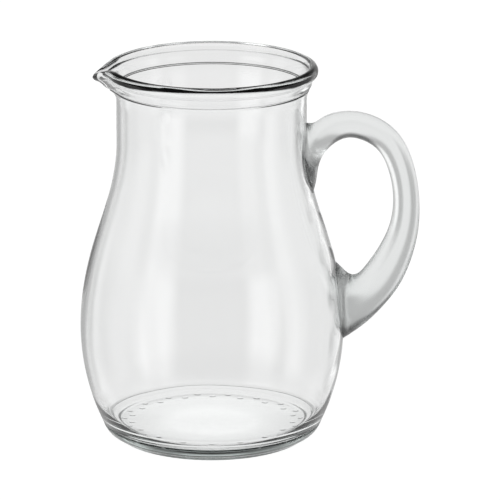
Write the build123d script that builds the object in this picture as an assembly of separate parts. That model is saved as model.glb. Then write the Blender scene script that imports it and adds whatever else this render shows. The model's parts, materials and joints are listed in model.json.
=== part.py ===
"""Large glass water jug: a blown pitcher body and the solid glass handle applied to it.

Millimetres, +Z up. The origin is the centre of the foot's resting plane, on the axis of
the jug. The handle points to +X and the pouring beak to -X.
"""
from build123d import *
from math import cos, radians, sin
import os

# ---- heights above the table -------------------------------------------------------
UNDERSIDE_RISE = 1.0      # hollow under the base, at the axis
FLOOR_TOP = 8.2           # edge of the thick base's inner floor
FLOOR_DOME = 0.6          # rise of that floor at the axis, over the hollow underside
MOULD_LINE = 7.9          # groove where the base mould met the body mould
BELLY_HEIGHT = 62.0       # widest level
NECK_START = 152.0        # the cylindrical neck begins
NECK_END = 170.4          # the neck begins to open towards the lip
SEAM_HEIGHT = 179.6       # fine seam where the lip begins to flare
RIM_TOP = 190.9

# ---- radii -------------------------------------------------------------------------
FOOT_INNER = 40.0         # the flat bearing ring runs from here
FOOT_OUTER = 46.8         # to here, where the foot's rounded edge begins
FOOT_ROUND = 2.6
FLOOR_RADIUS = 48.3       # the gently domed inner floor
BELLY_RADIUS = 66.0
NECK_RADIUS = 47.3
RIM_RADIUS = 52.9         # outermost point of the rim
RIM_ROUND = 3.2           # its rounded outer edge
RIM_INNER_EDGE = (49.3, 190.6)
WALL = 3.0                # thickness of the blown wall
NECK_BORE = NECK_RADIUS - WALL

# ---- pouring beak ------------------------------------------------------------------
BEAK_START = 175.0        # the beak grows out of the neck at this height
BEAK_END = 192.0          # its sections run on to here, above the rim, and are trimmed
BEAK_SLOPE = 1.08         # reach outwards for each millimetre of height
BEAK_ROOT = 51.4          # radius at which its flanks leave the round of the rim
BEAK_HALF_WIDTH = 13.4
BEAK_LOW_ROOT = 43.0      # the same at its start, hidden in the neck's wall
BEAK_LOW_HALF_WIDTH = 6.5
BEAK_WAIST_REACH = 0.34   # a point on each hollow flank, as a share of the reach
BEAK_WAIST_WIDTH = 0.60   # and of the half width
BEAK_WALL = 4.3           # level distance between the beak and its groove
BEAK_SIDE_WALL = 2.6
BEAK_BACK = 30.0          # the sections close at this radius, inside the mouth
BEAK_TIP_X = -58.5
BEAK_TIP_Z = 186.2

# ---- handle: stations along its middle, all in the plane y = 0 ----------------------
# centre x, centre z, direction of travel in degrees from +X towards +Z,
# half the thickness in the plane of the handle, half the width across it
HANDLE_STATIONS = [
    (46.5, 144.4, 12, 19.3, 10.8),
    (48.3, 146.7, 13, 16.1, 10.3),
    (49.7, 150.0, 17, 11.7, 9.4),
    (53.8, 154.0, 25, 7.7, 8.2),
    (58.4, 157.5, 27, 7.1, 7.5),
    (66.5, 160.2, 8, 6.7, 7.1),
    (77.5, 158.5, -20, 6.7, 7.0),
    (87.2, 151.9, -47, 6.6, 7.0),
    (93.7, 139.8, -69, 6.5, 7.0),
    (96.8, 123.5, -87, 6.5, 7.0),
    (95.9, 107.6, -102, 7.3, 7.2),
    (91.4, 93.6, -113, 8.7, 7.8),
    (84.2, 80.6, -130, 9.9, 8.7),
    (76.0, 72.6, -148, 11.7, 10.0),
    (68.5, 70.2, -167, 16.6, 11.9),
    (61.7, 69.1, -177, 21.4, 14.0),
]


def outer_profile():
    """Outside of the jug, from the axis under the base up to the rounded edge of the rim."""
    underside = Spline((0, UNDERSIDE_RISE), (FOOT_INNER / 2, UNDERSIDE_RISE * 0.56), (FOOT_INNER, 0),
                       tangents=[(1, 0), (1, 0)])
    bearing = Line(underside @ 1, (FOOT_OUTER, 0))
    foot_edge = CenterArc((FOOT_OUTER, FOOT_ROUND), FOOT_ROUND, -90, 66)
    base_band = Spline(foot_edge @ 1, (53.0, 4.1), (55.0, MOULD_LINE - 0.5))
    groove = Polyline(base_band @ 1, (54.3, MOULD_LINE), (54.9, MOULD_LINE + 0.4))
    body_edge = ThreePointArc(groove @ 1, (55.6, MOULD_LINE + 0.9), (56.1, MOULD_LINE + 2.0))
    belly = Spline(
        body_edge @ 1, (62.5, 28), (BELLY_RADIUS, BELLY_HEIGHT), (59.6, 98), (51.0, 126),
        (NECK_RADIUS, NECK_START), tangents=[(0.45, 1), (0, 1)],
    )
    neck = Line(belly @ 1, (NECK_RADIUS, NECK_END))
    lip = Spline(neck @ 1, (47.7, 176.3), (48.65, SEAM_HEIGHT - 0.6), tangents=[(0, 1), (0.45, 1)])
    seam = Polyline(lip @ 1, (48.3, SEAM_HEIGHT), (49.15, SEAM_HEIGHT + 0.6))
    rim_edge = rounded_rim()
    flare = Spline(seam @ 1, (50.0, 182.0), (51.5, 185.4), rim_edge @ 0)
    return [underside, bearing, foot_edge, base_band, groove, body_edge, belly, neck, lip, seam, flare]


def rounded_rim():
    """The rim's rounded outer edge, up to its top."""
    return CenterArc((RIM_RADIUS - RIM_ROUND, RIM_TOP - RIM_ROUND), RIM_ROUND, -25, 115)


def inner_profile():
    """Inside of the jug, from the rim down to the domed floor and in to the axis."""
    lip_inside = Spline(RIM_INNER_EDGE, (47.6, 187.0), (45.8, 181.5), (NECK_BORE, 174.5),
                        tangents=[(-0.43, -0.9), (0, -1)])
    bore = Line(lip_inside @ 1, (NECK_BORE, NECK_START))
    inside = Spline(
        bore @ 1, (48.0, 126), (56.5, 98), (BELLY_RADIUS - WALL, BELLY_HEIGHT), (59.9, 28),
        (56.8, 18.5), (53.6, 12.5), (FLOOR_RADIUS, FLOOR_TOP), tangents=[(0, -1), (-1, 0)],
    )
    floor = Spline(inside @ 1, (FLOOR_RADIUS / 2, FLOOR_TOP + FLOOR_DOME * 0.56),
                   (0, FLOOR_TOP + FLOOR_DOME), tangents=[(-1, 0), (-1, 0)])
    return [lip_inside, bore, inside, floor]


def turned(outline):
    """Solid of revolution about the jug's axis, from a closed outline in the plane y = 0."""
    return revolve(Plane.XZ * make_face(outline), Axis.Z)


def blown_wall():
    """The round wall, with the thick base, the mould line, the seam and the fire-polished rim."""
    outside = outer_profile()
    inside = inner_profile()
    rim = rounded_rim()
    inner_edge = ThreePointArc(rim @ 1, (49.4, RIM_TOP - 0.1), inside[0] @ 0)
    axis = Line(inside[-1] @ 1, outside[0] @ 0)
    return turned(outside + [rim, inner_edge] + inside + [axis])


def outer_envelope():
    """Everything inside the jug's outer surface, up to the rim's rounded edge."""
    outside = outer_profile()
    top = Line(outside[-1] @ 1, (0, (outside[-1] @ 1).Y))
    axis = Line(top @ 1, outside[0] @ 0)
    return turned(outside + [top, axis])


def mouth_plug():
    """Everything inside the jug's inner surface, run on to above the rim."""
    inside = inner_profile()
    plug_top = BEAK_END + 2
    funnel = Polyline((0, plug_top), (50.8, plug_top), inside[0] @ 0)
    axis = Line(inside[-1] @ 1, (0, plug_top))
    return turned([funnel] + inside + [axis])


def beak_section(height, root, tip, half_width):
    """Level section of the beak: hollow flanks that run from the lip to a rounded tip."""
    waist_x = -root - (tip - root) * BEAK_WAIST_REACH
    waist_y = half_width * BEAK_WAIST_WIDTH
    nose = Spline(
        (-root, half_width), (waist_x, waist_y), (-tip, 0), (waist_x, -waist_y),
        (-root, -half_width), tangents=[(-0.3, -1), (0.3, -1)],
    )
    back = Polyline(nose @ 1, (-BEAK_BACK, -half_width), (-BEAK_BACK, half_width), nose @ 0)
    return Plane.XY.offset(height) * make_face([nose, back])


def beak_form(inset, side_inset):
    """Ruled form between a low and a high level section, set in by a wall thickness."""
    low_tip = NECK_RADIUS - 0.5 - inset
    high_tip = low_tip + BEAK_SLOPE * (BEAK_END - BEAK_START)
    low = beak_section(BEAK_START, BEAK_LOW_ROOT - inset, low_tip, BEAK_LOW_HALF_WIDTH - side_inset)
    high = beak_section(BEAK_END, BEAK_ROOT - side_inset, high_tip, BEAK_HALF_WIDTH - side_inset)
    return loft([low, high], ruled=True)


def rim_dip():
    """Cutter that trims the beak's rim, from level with the lip down to the tip."""
    clear_x, clear_z = 75.0, 200.0
    crest = Spline((-48.5, RIM_TOP), (-53.0, 189.2), (BEAK_TIP_X, BEAK_TIP_Z),
                   tangents=[(-1, 0), (-1, -0.8)])
    edge = Polyline(crest @ 1, (-clear_x, BEAK_TIP_Z - 13), (-clear_x, clear_z),
                    (-BEAK_BACK - 5, clear_z), (-BEAK_BACK - 5, RIM_TOP), crest @ 0)
    return extrude(Plane.XZ * make_face([crest, edge]), amount=BEAK_HALF_WIDTH * 2, both=True)


def jug_body():
    """The blown body with its pouring beak."""
    pouring_beak = beak_form(0, 0) - mouth_plug()
    groove = beak_form(BEAK_WALL, BEAK_SIDE_WALL)
    return blown_wall() + pouring_beak - groove - rim_dip()


def handle():
    """The solid handle: oval sections along its middle, shaped at both ends to the body."""
    sections = []
    for x, z, travel, half_thickness, half_width in HANDLE_STATIONS:
        along = (cos(radians(travel)), 0, sin(radians(travel)))
        plane = Plane(origin=(x, 0, z), x_dir=(0, 1, 0), z_dir=along)
        sections.append(plane * Ellipse(half_width, half_thickness))
    return loft(sections) - outer_envelope()


os.makedirs("parts", exist_ok=True)
for name, solid in {"jug_body": jug_body(), "handle": handle()}.items():
    export_step(solid, f"parts/{name}.step")
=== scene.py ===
"""The finished look of a large glass water jug: its blown body and its applied handle, in clear glass.

The section and the handle's stations repeat the sizes of the CAD part, in millimetres, and are turned
into metres where a mesh is made.
"""

import json
from math import atan2, cos, exp, hypot, pi, radians, sin

import bpy
import numpy as np
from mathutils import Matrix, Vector


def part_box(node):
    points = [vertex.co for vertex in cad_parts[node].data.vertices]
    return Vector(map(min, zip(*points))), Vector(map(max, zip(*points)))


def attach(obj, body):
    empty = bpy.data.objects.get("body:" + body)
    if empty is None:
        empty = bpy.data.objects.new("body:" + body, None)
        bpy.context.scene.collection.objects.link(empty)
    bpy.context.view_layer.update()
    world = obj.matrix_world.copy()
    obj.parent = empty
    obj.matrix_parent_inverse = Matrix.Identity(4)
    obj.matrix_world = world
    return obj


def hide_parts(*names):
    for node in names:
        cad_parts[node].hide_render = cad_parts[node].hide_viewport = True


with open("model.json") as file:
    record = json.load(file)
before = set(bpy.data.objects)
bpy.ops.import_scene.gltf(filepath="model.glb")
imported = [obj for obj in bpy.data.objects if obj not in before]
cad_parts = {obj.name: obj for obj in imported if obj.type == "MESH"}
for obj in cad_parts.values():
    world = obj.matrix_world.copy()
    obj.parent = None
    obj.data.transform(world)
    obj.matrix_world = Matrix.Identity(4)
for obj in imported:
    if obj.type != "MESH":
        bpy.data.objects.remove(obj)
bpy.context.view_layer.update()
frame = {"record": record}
MM = 0.001

# ---- sizes of the body, in millimetres -------------------------------------------------
MOUTH = next(m for m in frame["record"]["mounts"] if m["name"] == "mouth")
NECK_BORE = MOUTH["dims"]["r_mm"]
RIM_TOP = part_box("jug_body")[1].z / MM
WALL = 3.0
NECK_RADIUS = NECK_BORE + WALL
UNDERSIDE_RISE = 1.0      # hollow under the base, at the axis
FLOOR_TOP = 8.2           # edge of the thick base's inner floor
FLOOR_DOME = 0.6          # rise of that floor at the axis
FLOOR_RADIUS = 48.3
FOOT_INNER = 40.0         # the bearing ring runs from here
FOOT_OUTER = 46.8         # to here
FOOT_ROUND = 2.6          # radius of the foot's rounded edge
FOOT_LEAN = 24            # degrees from upright at which that edge passes into the base band
REST_GAP = 0.4            # the bumps hold the bearing ring this far off the table
MOULD_LINE = 7.9          # groove where the base mould met the body mould
BELLY_START = MOULD_LINE + 2.0
BELLY_RADIUS = 66.0
BELLY_HEIGHT = 62.0
NECK_START = 152.0
NECK_END = 170.4
SEAM_HEIGHT = 179.6       # where the lip begins to flare, marked by a fine seam
RIM_ROUND = 3.2           # radius of the rim's rounded outer edge
RIM_LEAN = 25             # degrees from upright at which the lip runs into it
RIM_RADIUS = 52.9
RIM_INNER_EDGE = (49.3, 190.6)

# ---- pouring beak ----------------------------------------------------------------------
BEAK_START = 175.2        # height at which the beak begins to leave the neck
BEAK_FULL = 187.7         # height of the rim's widest point, which the beak carries outwards
BEAK_OVERRUN = 1.05       # above that height its reach grows on by up to this factor
BEAK_REACH = 5.8          # how far the tip stands out beyond the round rim
BEAK_DROP = 3.9           # how far the tip lies below it
BEAK_WIDTH = 6.4          # the greater, the slower the beak falls away along the rim
BEAK_SPAN = 16.0          # distance along the rim by which it has all but died out
BEAK_NOSE = 1.6           # roundness of its tip

# ---- resting bumps under the foot ------------------------------------------------------
BUMP_ROWS = ((45.5, 0.0), (41.8, 0.5))   # radius of the row, offset as a share of the spacing
BUMPS_PER_ROW = 18
BUMP_RADIUS = 1.5

# ---- unevenness of the blown wall, on its inside ---------------------------------------
# Each swell: waves round the jug, height over which it turns by a radian, offset, share.
SWELLS = ((3, 31.0, 0.0, 1.0), (5, -17.0, 1.3, 0.7), (8, 12.0, 4.0, 0.5))
SWELL_DEPTH = 0.045
# Finer waves stand where the hot handle was pressed on.
PRESSED_DEPTH = 0.05
PRESSED_FOCUS = 6         # the greater, the closer they keep beside the handle
PRESSED_RISE = 3.2        # height over which they turn by a radian
PRESSED_SWAY = 2.5        # how far they wander up and down, in radians
PRESSED_WANDERS = 9       # how often they do so on the way round

# ---- resolution ------------------------------------------------------------------------
COLUMNS = 320             # columns round the body
FINE = 3                  # times as many on the bearing ring, for the bumps
BEAK_CROWDING = 0.6       # columns stand closer together at the beak than at the handle
UNDERSIDE_ROWS = 26
FLOOR_ROWS = 28
HANDLE_SIDES = 96
HANDLE_RINGS = 220
CAP_RINGS = 14
HALVINGS = 24             # steps of the search for where the handle leaves the body

# ---- handle: stations along its middle, as in the CAD part -----------------------------
# centre x, centre z, direction of travel in degrees, half thickness, half width
HANDLE_STATIONS = (
    (46.5, 144.4, 12, 19.3, 10.8),
    (48.3, 146.7, 13, 16.1, 10.3),
    (49.7, 150.0, 17, 11.7, 9.4),
    (53.8, 154.0, 25, 7.7, 8.2),
    (58.4, 157.5, 27, 7.1, 7.5),
    (66.5, 160.2, 8, 6.7, 7.1),
    (77.5, 158.5, -20, 6.7, 7.0),
    (87.2, 151.9, -47, 6.6, 7.0),
    (93.7, 139.8, -69, 6.5, 7.0),
    (96.8, 123.5, -87, 6.5, 7.0),
    (95.9, 107.6, -102, 7.3, 7.2),
    (91.4, 93.6, -113, 8.7, 7.8),
    (84.2, 80.6, -130, 9.9, 8.7),
    (76.0, 72.6, -148, 11.7, 10.0),
    (68.5, 70.2, -167, 16.6, 11.9),
    (61.7, 69.1, -177, 21.4, 14.0),
)
WELD_DEPTH = 0.8          # the handle's ends sink this far into the body's wall, where they are fused

# ---- studio ----------------------------------------------------------------------------
FLOOR_GLOW = 0.95
BACKDROP_SIZE = 10        # radius and height of the backdrop, in metres
# A pool of light lies under the base. Its levels go with the share of its radius.
POOL_RADIUS = 44.0
POOL_DEPTH = 0.5
POOL_LEVELS = ((0.0, 1.24), (0.48, 1.24), (0.65, 1.1), (0.85, 1.0), (1.0, 0.95))
# Light level round the jug near table height: bearing in degrees, 0 straight behind it and 90 to its right.
# Gaps stand between the light screens, so that clear glass gets grey outlines from every side.
AROUND = (
    (-180, 0.4), (-150, 0.4), (-139, 1.7), (-119, 1.7), (-110, 0.5), (-103, 0.5), (-96, 0.88), (-84, 0.88),
    (-75, 0.6), (-61, 0.6), (-53, 0.88), (-37, 0.88), (-30, 0.5), (-15, 0.5), (-9, 0.88), (9, 0.88),
    (14, 0.5), (24, 0.5), (30, 1.12), (41, 1.12), (49, 0.6), (86, 0.6), (94, 0.85), (101, 1.3), (109, 1.3),
    (115, 0.5), (123, 0.5), (129, 0.95), (142, 0.95), (151, 0.4), (180, 0.4),
)
# How far that pattern holds, by the sine of the angle above the horizon, and the plain level beyond it.
PATTERN_REACH = ((-1.0, 0.0), (-0.48, 0.0), (-0.36, 1.0), (0.4, 1.0), (0.6, 0.0), (1.0, 0.0))
PLAIN_LEVEL = 0.95
# What both are multiplied by, by the same sine: full light at table height, little from the ceiling.
UPWARDS = ((-1.0, 0.95), (-0.6, 0.95), (-0.1, 1.0), (0.18, 1.0), (0.32, 0.4), (0.44, 0.12), (1.0, 0.12))


# ---- curves ----------------------------------------------------------------------------
def spline(points, step, start=None, end=None):
    """Smooth curve through points, sampled about every step; start and end are directions at its ends."""
    points = np.array(points, float)
    gaps = np.linalg.norm(np.diff(points[:, :2], axis=0), axis=1)
    knots = np.concatenate([[0.0], np.cumsum(gaps)])
    last = len(points) - 1
    weights = np.zeros((last + 1, last + 1))
    sums = np.zeros_like(points)
    for i in range(1, last):
        before, after = gaps[i - 1], gaps[i]
        weights[i, i - 1 : i + 2] = after, 2 * (before + after), before
        slope_before = (points[i] - points[i - 1]) / before
        slope_after = (points[i + 1] - points[i]) / after
        sums[i] = 3 * (after * slope_before + before * slope_after)
    for row, near, direction in ((0, 1, start), (last, last - 1, end)):
        if direction is None:
            weights[row, row] = 2.0
            weights[row, near] = 1.0
            sums[row] = 3 * (points[near] - points[row]) / (knots[near] - knots[row])
        else:
            weights[row, row] = 1.0
            sums[row] = np.array(direction, float) / np.linalg.norm(direction)
    slopes = np.linalg.solve(weights, sums)
    places = np.linspace(0, knots[-1], max(2, int(round(knots[-1] / step)) + 1))
    piece = np.clip(np.searchsorted(knots, places, side="right") - 1, 0, last - 1)
    gap = gaps[piece][:, None]
    share = ((places - knots[piece]) / gaps[piece])[:, None]
    rest = 1 - share
    return (
        (1 + 2 * share) * rest**2 * points[piece]
        + share * rest**2 * gap * slopes[piece]
        + share**2 * (1 + 2 * rest) * points[piece + 1]
        - share**2 * rest * gap * slopes[piece + 1]
    )


def line(start, end, step):
    """Evenly spaced points from start to end."""
    length = hypot(end[0] - start[0], end[1] - start[1])
    return np.linspace(start, end, max(2, int(round(length / step)) + 1))


def arc(centre, radius, first, last, step):
    """Points of an arc, with angles in degrees."""
    count = max(3, int(round(radius * abs(radians(last - first)) / step)) + 1)
    turn = np.radians(np.linspace(first, last, count))
    return np.stack([centre[0] + radius * np.cos(turn), centre[1] + radius * np.sin(turn)], axis=1)


def joined(*stretches):
    """One list of points from stretches that start where the one before ends."""
    points = [stretches[0]]
    points += [s[1:] for s in stretches[1:]]
    return np.concatenate(points)


# ---- the body's section ----------------------------------------------------------------
def underside_section():
    """From the middle of the hollow underside to the bearing ring."""
    r = np.linspace(0, FOOT_INNER, UNDERSIDE_ROWS)
    hollow = (UNDERSIDE_RISE - REST_GAP) * (1 - (r / FOOT_INNER) ** 2) ** 2
    return np.stack([r, REST_GAP + hollow], axis=1)


def bearing_section():
    """The bearing ring, with rows close enough together to carry the resting bumps."""
    return line((FOOT_INNER, REST_GAP), (FOOT_OUTER, REST_GAP), step=0.33)


def outer_section():
    """From the foot's rounded edge up to the rim's widest point."""
    foot_edge = arc((FOOT_OUTER, FOOT_ROUND + REST_GAP), FOOT_ROUND, -90, -FOOT_LEAN, step=0.3)
    base_band = spline([foot_edge[-1], (53.0, 4.1), (55.0, MOULD_LINE - 0.5)], step=0.5)
    groove = spline([base_band[-1], (54.3, MOULD_LINE), (54.9, MOULD_LINE + 0.4)], step=0.25)
    edge = spline([groove[-1], (55.6, MOULD_LINE + 0.9), (56.1, BELLY_START)], step=0.35, end=(0.45, 1))
    belly = spline(
        [edge[-1], (62.5, 28), (BELLY_RADIUS, BELLY_HEIGHT), (59.6, 98), (51.0, 126),
         (NECK_RADIUS, NECK_START)],
        step=1.2, start=(0.45, 1), end=(0, 1),
    )
    neck = line(belly[-1], (NECK_RADIUS, NECK_END), step=1.2)
    lip = spline([neck[-1], (47.7, 176.3), (48.65, SEAM_HEIGHT - 0.6)], step=0.6, start=(0, 1))
    seam = spline([lip[-1], (48.3, SEAM_HEIGHT), (49.15, SEAM_HEIGHT + 0.6)], step=0.12,
                  start=(-0.3, 1), end=(1, 1))
    flare = spline([seam[-1], (50.0, 182.0), (51.5, 185.4), rim_arc()[0]], step=0.4,
                   start=(1, 1), end=(sin(radians(RIM_LEAN)), cos(radians(RIM_LEAN))))
    return joined(foot_edge, base_band, groove, edge, belly, neck, lip, seam, flare)


def rim_arc():
    """The rim's rounded outer edge."""
    return arc((RIM_RADIUS - RIM_ROUND, RIM_TOP - RIM_ROUND), RIM_ROUND, -RIM_LEAN, 90, step=0.25)


def rim_section():
    """The fire-polished rim: round outside, with a crisper inner edge."""
    rounded = rim_arc()
    inner_edge = spline([rounded[-1], (49.4, RIM_TOP - 0.1), RIM_INNER_EDGE], step=0.12,
                        start=(-1, 0), end=(-1.7, -3.6))
    return joined(rounded, inner_edge)


def inner_section():
    """From the rim down the inside to the middle of the floor."""
    lip = spline([RIM_INNER_EDGE, (47.6, 187.0), (45.8, 181.5), (NECK_BORE, 174.5)], step=0.5,
                 start=(-1.7, -3.6), end=(0, -1))
    bore = line(lip[-1], (NECK_BORE, NECK_START), step=1.2)
    inside = spline(
        [bore[-1], (48.0, 126), (56.5, 98), (BELLY_RADIUS - WALL, BELLY_HEIGHT), (59.9, 28), (56.8, 18.5),
         (53.6, 12.5), (FLOOR_RADIUS, FLOOR_TOP)],
        step=1.2, start=(0, -1), end=(-1, 0),
    )
    r = np.linspace(FLOOR_RADIUS, 0, FLOOR_ROWS)
    floor = np.stack([r, FLOOR_TOP + FLOOR_DOME * (1 - (r / FLOOR_RADIUS) ** 2) ** 2], axis=1)
    return joined(lip, bore, inside, floor)


OUTER = outer_section()


def outer_radius(z):
    """Outside radius of the round body at a height from the belly upwards."""
    rising = OUTER[OUTER[:, 1] > BELLY_START]
    return np.interp(z, rising[:, 1], rising[:, 0])


# ---- the body --------------------------------------------------------------------------
def column_angle(share):
    """Angle of a column, from its share of the way round; the columns crowd towards the beak at half way."""
    return 2 * pi * share + BEAK_CROWDING * sin(2 * pi * share)


def beak_shift(r, z, angle):
    """Carries a point of the lip out and down where the beak is."""
    rise = min(max((z - BEAK_START) / (BEAK_FULL - BEAK_START), 0.0), BEAK_OVERRUN)
    along = RIM_RADIUS * (angle - pi)
    flank = hypot(along, BEAK_NOSE) - BEAK_NOSE
    share = exp(-flank / BEAK_WIDTH - (along / BEAK_SPAN) ** 4)
    return r + BEAK_REACH * share * rise, z - BEAK_DROP * share * rise


def wave(angle, z):
    """How far the unevenness moves the wall's inside outwards at a point."""
    swell = sum(share * sin(count * angle + z / rise + offset) for count, rise, offset, share in SWELLS)
    beside_handle = max(0.0, cos(angle)) ** PRESSED_FOCUS
    pressed = sin(z / PRESSED_RISE + PRESSED_SWAY * sin(PRESSED_WANDERS * angle))
    return SWELL_DEPTH * swell + PRESSED_DEPTH * beside_handle * pressed


def bump_height(r, angle):
    """Height of the resting bumps at a point of the bearing ring."""
    height = 0.0
    spacing = 2 * pi / BUMPS_PER_ROW
    for row_radius, offset in BUMP_ROWS:
        nearest = (round(angle / spacing - offset) + offset) * spacing
        distance = hypot(r - row_radius, row_radius * (angle - nearest))
        if distance < BUMP_RADIUS:
            height = REST_GAP * (1 - (distance / BUMP_RADIUS) ** 2)
    return height


def bridge(faces, low, high):
    """Quads between two rows of columns, or fans where one row is three times as fine as the other."""
    n, m = len(low), len(high)
    if n == m:
        faces += [(low[i], low[(i + 1) % n], high[(i + 1) % n], high[i]) for i in range(n)]
    elif n < m:
        for i in range(n):
            a, b = low[i], low[(i + 1) % n]
            fine = [high[(FINE * i + k) % m] for k in range(FINE + 1)]
            faces += [(a, fine[1], fine[0]), (a, b, fine[2], fine[1]), (b, fine[3], fine[2])]
    else:
        for i in range(m):
            a, b = high[i], high[(i + 1) % m]
            fine = [low[(FINE * i + k) % n] for k in range(FINE + 1)]
            faces += [(fine[0], fine[1], a), (fine[1], fine[2], b, a), (fine[2], fine[3], b)]


def mesh_object(name, vertices, faces):
    """A smooth-shaded mesh object from vertices in millimetres."""
    mesh = bpy.data.meshes.new(name)
    mesh.from_pydata([tuple(c * MM for c in v) for v in vertices], [], faces)
    mesh.validate()
    mesh.shade_smooth()
    made = bpy.data.objects.new(name, mesh)
    bpy.context.scene.collection.objects.link(made)
    return made


def make_body():
    """The blown body: its section turned about the axis, with the beak, the bumps and the waves added."""
    underside = underside_section()
    rows = [(r, z, COLUMNS, "plain") for r, z in underside[1:]]
    rows += [(r, z, FINE * COLUMNS, "bearing") for r, z in bearing_section()[1:-1]]
    rows += [(r, z, COLUMNS, "plain") for r, z in joined(OUTER, rim_section())]
    rows += [(r, z, COLUMNS, "inside") for r, z in inner_section()[1:-1]]
    vertices = [(0, 0, underside[0][1])]
    faces = []
    ring_before = None
    for r, z, count, place in rows:
        ring = []
        for i in range(count):
            angle = column_angle(i / count)
            radius, height = r, z
            if place == "bearing":
                height = z - bump_height(r, angle)
            elif place == "inside" and r > FLOOR_RADIUS:
                radius = r + wave(angle, z)
            if z > BEAK_START:
                radius, height = beak_shift(radius, height, angle)
            ring.append(len(vertices))
            vertices.append((radius * cos(angle), radius * sin(angle), height))
        if ring_before is None:
            faces += [(0, ring[(i + 1) % count], ring[i]) for i in range(count)]
        else:
            bridge(faces, ring_before, ring)
        ring_before = ring
    top = len(vertices)
    vertices.append((0, 0, FLOOR_TOP + FLOOR_DOME))
    faces += [(ring_before[i], ring_before[(i + 1) % COLUMNS], top) for i in range(COLUMNS)]
    return mesh_object("body_glass", vertices, faces)


# ---- the handle ------------------------------------------------------------------------
def handle_skeleton():
    """Fine stations along the handle's middle: centre, direction of travel in radians and half sizes."""
    rows = [(x, z, radians(travel), thick, wide) for x, z, travel, thick, wide in HANDLE_STATIONS]
    return spline(rows, step=0.5)


def skeleton_point(skeleton, place, around):
    """Point of the handle's surface at a place along the skeleton and an angle round the section."""
    k = min(int(place), len(skeleton) - 2)
    x, z, travel, thick, wide = skeleton[k] + (place - k) * (skeleton[k + 1] - skeleton[k])
    across = thick * cos(around)
    return x - sin(travel) * across, wide * sin(around), z + cos(travel) * across


def seat_radius(z):
    """Radius of the handle's seat, just inside the body's outer surface."""
    return outer_radius(z) - WELD_DEPTH


def inside_seat(point):
    """Whether a point is nearer to the axis than the seat."""
    return hypot(point[0], point[1]) < seat_radius(point[2])


def seat_crossing(skeleton, around, first, step):
    """Place along the skeleton where the surface line at this angle leaves the body."""
    place = first
    while inside_seat(skeleton_point(skeleton, place, around)):
        place += step
    inside, outside = place - step, place
    for _ in range(HALVINGS):
        middle = (inside + outside) / 2
        if inside_seat(skeleton_point(skeleton, middle, around)):
            inside = middle
        else:
            outside = middle
    return outside


def add_strip(faces, low, high):
    """Quads between two closed rings of the same count."""
    n = len(low)
    faces += [(high[i], high[(i + 1) % n], low[(i + 1) % n], low[i]) for i in range(n)]


def seat_point(angle, z):
    """Point of the seat at an angle round the body and a height."""
    return seat_radius(z) * cos(angle), seat_radius(z) * sin(angle), z


def add_seat_cap(vertices, faces, loop):
    """Closes an end of the handle with a patch that follows the body's surface inside the wall."""
    rim = np.array([(atan2(vertices[i][1], vertices[i][0]), vertices[i][2]) for i in loop])
    middle = rim.mean(axis=0)
    ring_before = loop
    for k in range(1, CAP_RINGS):
        ring = []
        for place in rim:
            angle, z = middle + (place - middle) * (1 - k / CAP_RINGS)
            ring.append(len(vertices))
            vertices.append(seat_point(angle, z))
        add_strip(faces, ring_before, ring)
        ring_before = ring
    centre = len(vertices)
    vertices.append(seat_point(*middle))
    n = len(ring_before)
    faces += [(ring_before[(i + 1) % n], ring_before[i], centre) for i in range(n)]


def make_handle():
    """The solid handle: an oval bar that spreads at both ends, where it is fused to the body."""
    skeleton = handle_skeleton()
    turns = [2 * pi * i / HANDLE_SIDES for i in range(HANDLE_SIDES)]
    starts = [seat_crossing(skeleton, around, 0, 1) for around in turns]
    ends = [seat_crossing(skeleton, around, len(skeleton) - 1, -1) for around in turns]
    vertices, faces, rings = [], [], []
    for j in range(HANDLE_RINGS + 1):
        share = j / HANDLE_RINGS
        ring = []
        for around, start, end in zip(turns, starts, ends):
            ring.append(len(vertices))
            vertices.append(skeleton_point(skeleton, start + share * (end - start), around))
        rings.append(ring)
    for low, high in zip(rings, rings[1:]):
        add_strip(faces, low, high)
    add_seat_cap(vertices, faces, rings[0][::-1])
    add_seat_cap(vertices, faces, rings[-1])
    return mesh_object("handle_glass", vertices, faces)


# ---- glass -----------------------------------------------------------------------------
def glass(name, ripple_scale, ripple_depth, roughness):
    """Clear soda-lime glass: slightly uneven, faintly green in the thick."""
    material = bpy.data.materials.new(name)
    material.use_nodes = True
    tree = material.node_tree
    shader = tree.nodes["Principled BSDF"]
    shader.inputs["Base Color"].default_value = (1, 1, 1, 1)
    shader.inputs["Roughness"].default_value = roughness
    shader.inputs["IOR"].default_value = 1.5
    shader.inputs["Transmission Weight"].default_value = 1.0
    place = tree.nodes.new("ShaderNodeTexCoord")
    noise = tree.nodes.new("ShaderNodeTexNoise")
    noise.inputs["Scale"].default_value = ripple_scale
    noise.inputs["Detail"].default_value = 1.5
    bump = tree.nodes.new("ShaderNodeBump")
    bump.inputs["Strength"].default_value = 1.0
    bump.inputs["Distance"].default_value = ripple_depth
    tree.links.new(place.outputs["Object"], noise.inputs["Vector"])
    tree.links.new(noise.outputs["Fac"], bump.inputs["Height"])
    tree.links.new(bump.outputs["Normal"], shader.inputs["Normal"])
    tint = tree.nodes.new("ShaderNodeVolumeAbsorption")
    tint.inputs["Color"].default_value = (0.0, 0.25, 0.18, 1)
    tint.inputs["Density"].default_value = 4.0
    tree.links.new(tint.outputs["Volume"], tree.nodes["Material Output"].inputs["Volume"])
    return material


# ---- patterns of light -----------------------------------------------------------------
def worked(tree, operation, *values, clamp=False):
    """Output of a maths node on values that are numbers or other nodes' outputs."""
    node = tree.nodes.new("ShaderNodeMath")
    node.operation = operation
    node.use_clamp = clamp
    for socket, value in zip(node.inputs, values):
        if isinstance(value, (int, float)):
            socket.default_value = value
        else:
            tree.links.new(value, socket)
    return node.outputs[0]


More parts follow.
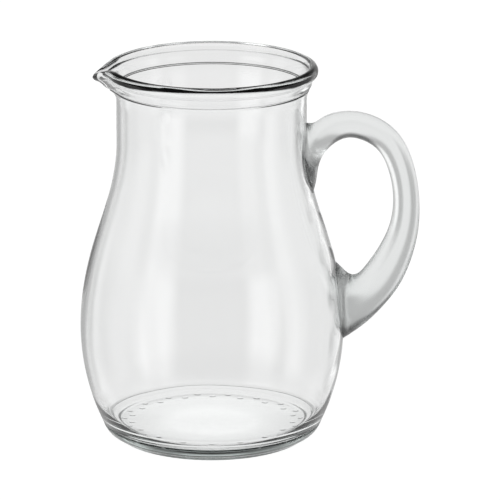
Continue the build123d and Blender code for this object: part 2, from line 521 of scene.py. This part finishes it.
def ramp(tree, value, marks):
    """Grey level read from a value by straight runs between (value, level) marks."""
    node = tree.nodes.new("ShaderNodeValToRGB")
    low, high = marks[0][0], marks[-1][0]
    for mark, _ in marks[1:-1]:
        node.color_ramp.elements.new((mark - low) / (high - low))
    for element, (_, level) in zip(node.color_ramp.elements, marks):
        element.color = (level, level, level, 1)
    share = worked(tree, "DIVIDE", worked(tree, "SUBTRACT", value, low), high - low, clamp=True)
    tree.links.new(share, node.inputs["Fac"])
    return node.outputs["Color"]


# ---- making the studio -----------------------------------------------------------------
def make_floor():
    """A pale seamless floor that glows softly, as a lit table does.

    Through the glass and in its gloss, the white surroundings below show in its place.
    """
    bpy.ops.mesh.primitive_plane_add(size=40, location=(0, 0, 0))
    floor = bpy.context.object
    floor.name = "floor"
    floor.visible_transmission = False
    floor.visible_glossy = False
    material = bpy.data.materials.new("pale_floor")
    material.use_nodes = True
    shader = material.node_tree.nodes["Principled BSDF"]
    shader.inputs["Base Color"].default_value = (0.6, 0.6, 0.6, 1)
    shader.inputs["Roughness"].default_value = 0.9
    shader.inputs["Emission Color"].default_value = (1, 1, 1, 1)
    shader.inputs["Emission Strength"].default_value = FLOOR_GLOW
    floor.data.materials.append(material)


def light_sheet(name, seen_by_camera, seen_through_glass):
    """Makes the active object a sheet of light of the studio and gives back its node tree and emission."""
    sheet = bpy.context.object
    sheet.name = name
    sheet.visible_camera = seen_by_camera
    sheet.visible_transmission = seen_through_glass
    sheet.visible_glossy = False
    sheet.visible_diffuse = False
    sheet.visible_shadow = False
    material = bpy.data.materials.new(name)
    material.use_nodes = True
    tree = material.node_tree
    tree.nodes.remove(tree.nodes["Principled BSDF"])
    glow = tree.nodes.new("ShaderNodeEmission")
    tree.links.new(glow.outputs["Emission"], tree.nodes["Material Output"].inputs["Surface"])
    sheet.data.materials.append(material)
    return tree, glow


def make_backdrop():
    """A round white wall far behind, which meets the floor without a line."""
    bpy.ops.mesh.primitive_cylinder_add(vertices=96, radius=BACKDROP_SIZE, depth=BACKDROP_SIZE,
                                        end_fill_type="NOTHING", location=(0, 0, BACKDROP_SIZE / 2))
    light_sheet("backdrop", seen_by_camera=True, seen_through_glass=False)


def make_pool():
    """A soft pool of light just under the middle of the base, seen only through the glass."""
    bpy.ops.mesh.primitive_circle_add(vertices=128, radius=POOL_RADIUS * MM, fill_type="NGON",
                                      location=(0, 0, -POOL_DEPTH * MM))
    tree, glow = light_sheet("pool", seen_by_camera=False, seen_through_glass=True)
    place = tree.nodes.new("ShaderNodeTexCoord")
    length = tree.nodes.new("ShaderNodeVectorMath")
    length.operation = "LENGTH"
    tree.links.new(place.outputs["Object"], length.inputs[0])
    share = worked(tree, "DIVIDE", length.outputs["Value"], POOL_RADIUS * MM)
    tree.links.new(ramp(tree, share, POOL_LEVELS), glow.inputs["Color"])


def make_world():
    """Studio surroundings: light screens and grey gaps round the jug, a white table below, a dark ceiling."""
    world = bpy.data.worlds.new("studio")
    bpy.context.scene.world = world
    world.use_nodes = True
    tree = world.node_tree
    place = tree.nodes.new("ShaderNodeTexCoord")
    split = tree.nodes.new("ShaderNodeSeparateXYZ")
    tree.links.new(place.outputs["Generated"], split.inputs["Vector"])
    x, y, z = split.outputs
    bearing = worked(tree, "DEGREES", worked(tree, "ARCTAN2", x, y))
    around = ramp(tree, bearing, AROUND)
    reach = ramp(tree, z, PATTERN_REACH)
    beyond = worked(tree, "MULTIPLY", worked(tree, "SUBTRACT", 1.0, reach), PLAIN_LEVEL)
    screens = worked(tree, "ADD", worked(tree, "MULTIPLY", around, reach), beyond)
    level = worked(tree, "MULTIPLY", screens, ramp(tree, z, UPWARDS))
    tree.links.new(level, tree.nodes["Background"].inputs["Color"])


def make_camera():
    """A long lens in front of the jug and a little above it, with the jug left of the middle of the frame."""
    middle_height = 0.0954
    aside = 0.01905
    distance, height = 2.2545, 0.737
    camera = bpy.data.cameras.new("camera")
    camera.lens = 337.6
    camera.sensor_width = 36
    made = bpy.data.objects.new("camera", camera)
    bpy.context.scene.collection.objects.link(made)
    made.location = (aside, -distance, height)
    aim = Vector((aside, 0, middle_height)) - made.location
    made.rotation_euler = aim.to_track_quat("-Z", "Y").to_euler()
    bpy.context.scene.camera = made


# ---- putting it together ---------------------------------------------------------------
body = make_body()
body.data.materials.append(glass("body_glass", ripple_scale=60, ripple_depth=0.00002, roughness=0.0))
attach(body, "root")
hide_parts("jug_body")

handle = make_handle()
handle.data.materials.append(glass("handle_glass", ripple_scale=45, ripple_depth=0.00004, roughness=0.22))
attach(handle, "root")
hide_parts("handle")

make_floor()
make_backdrop()
make_pool()
make_world()
make_camera()
bpy.context.scene.view_settings.view_transform = "Standard"
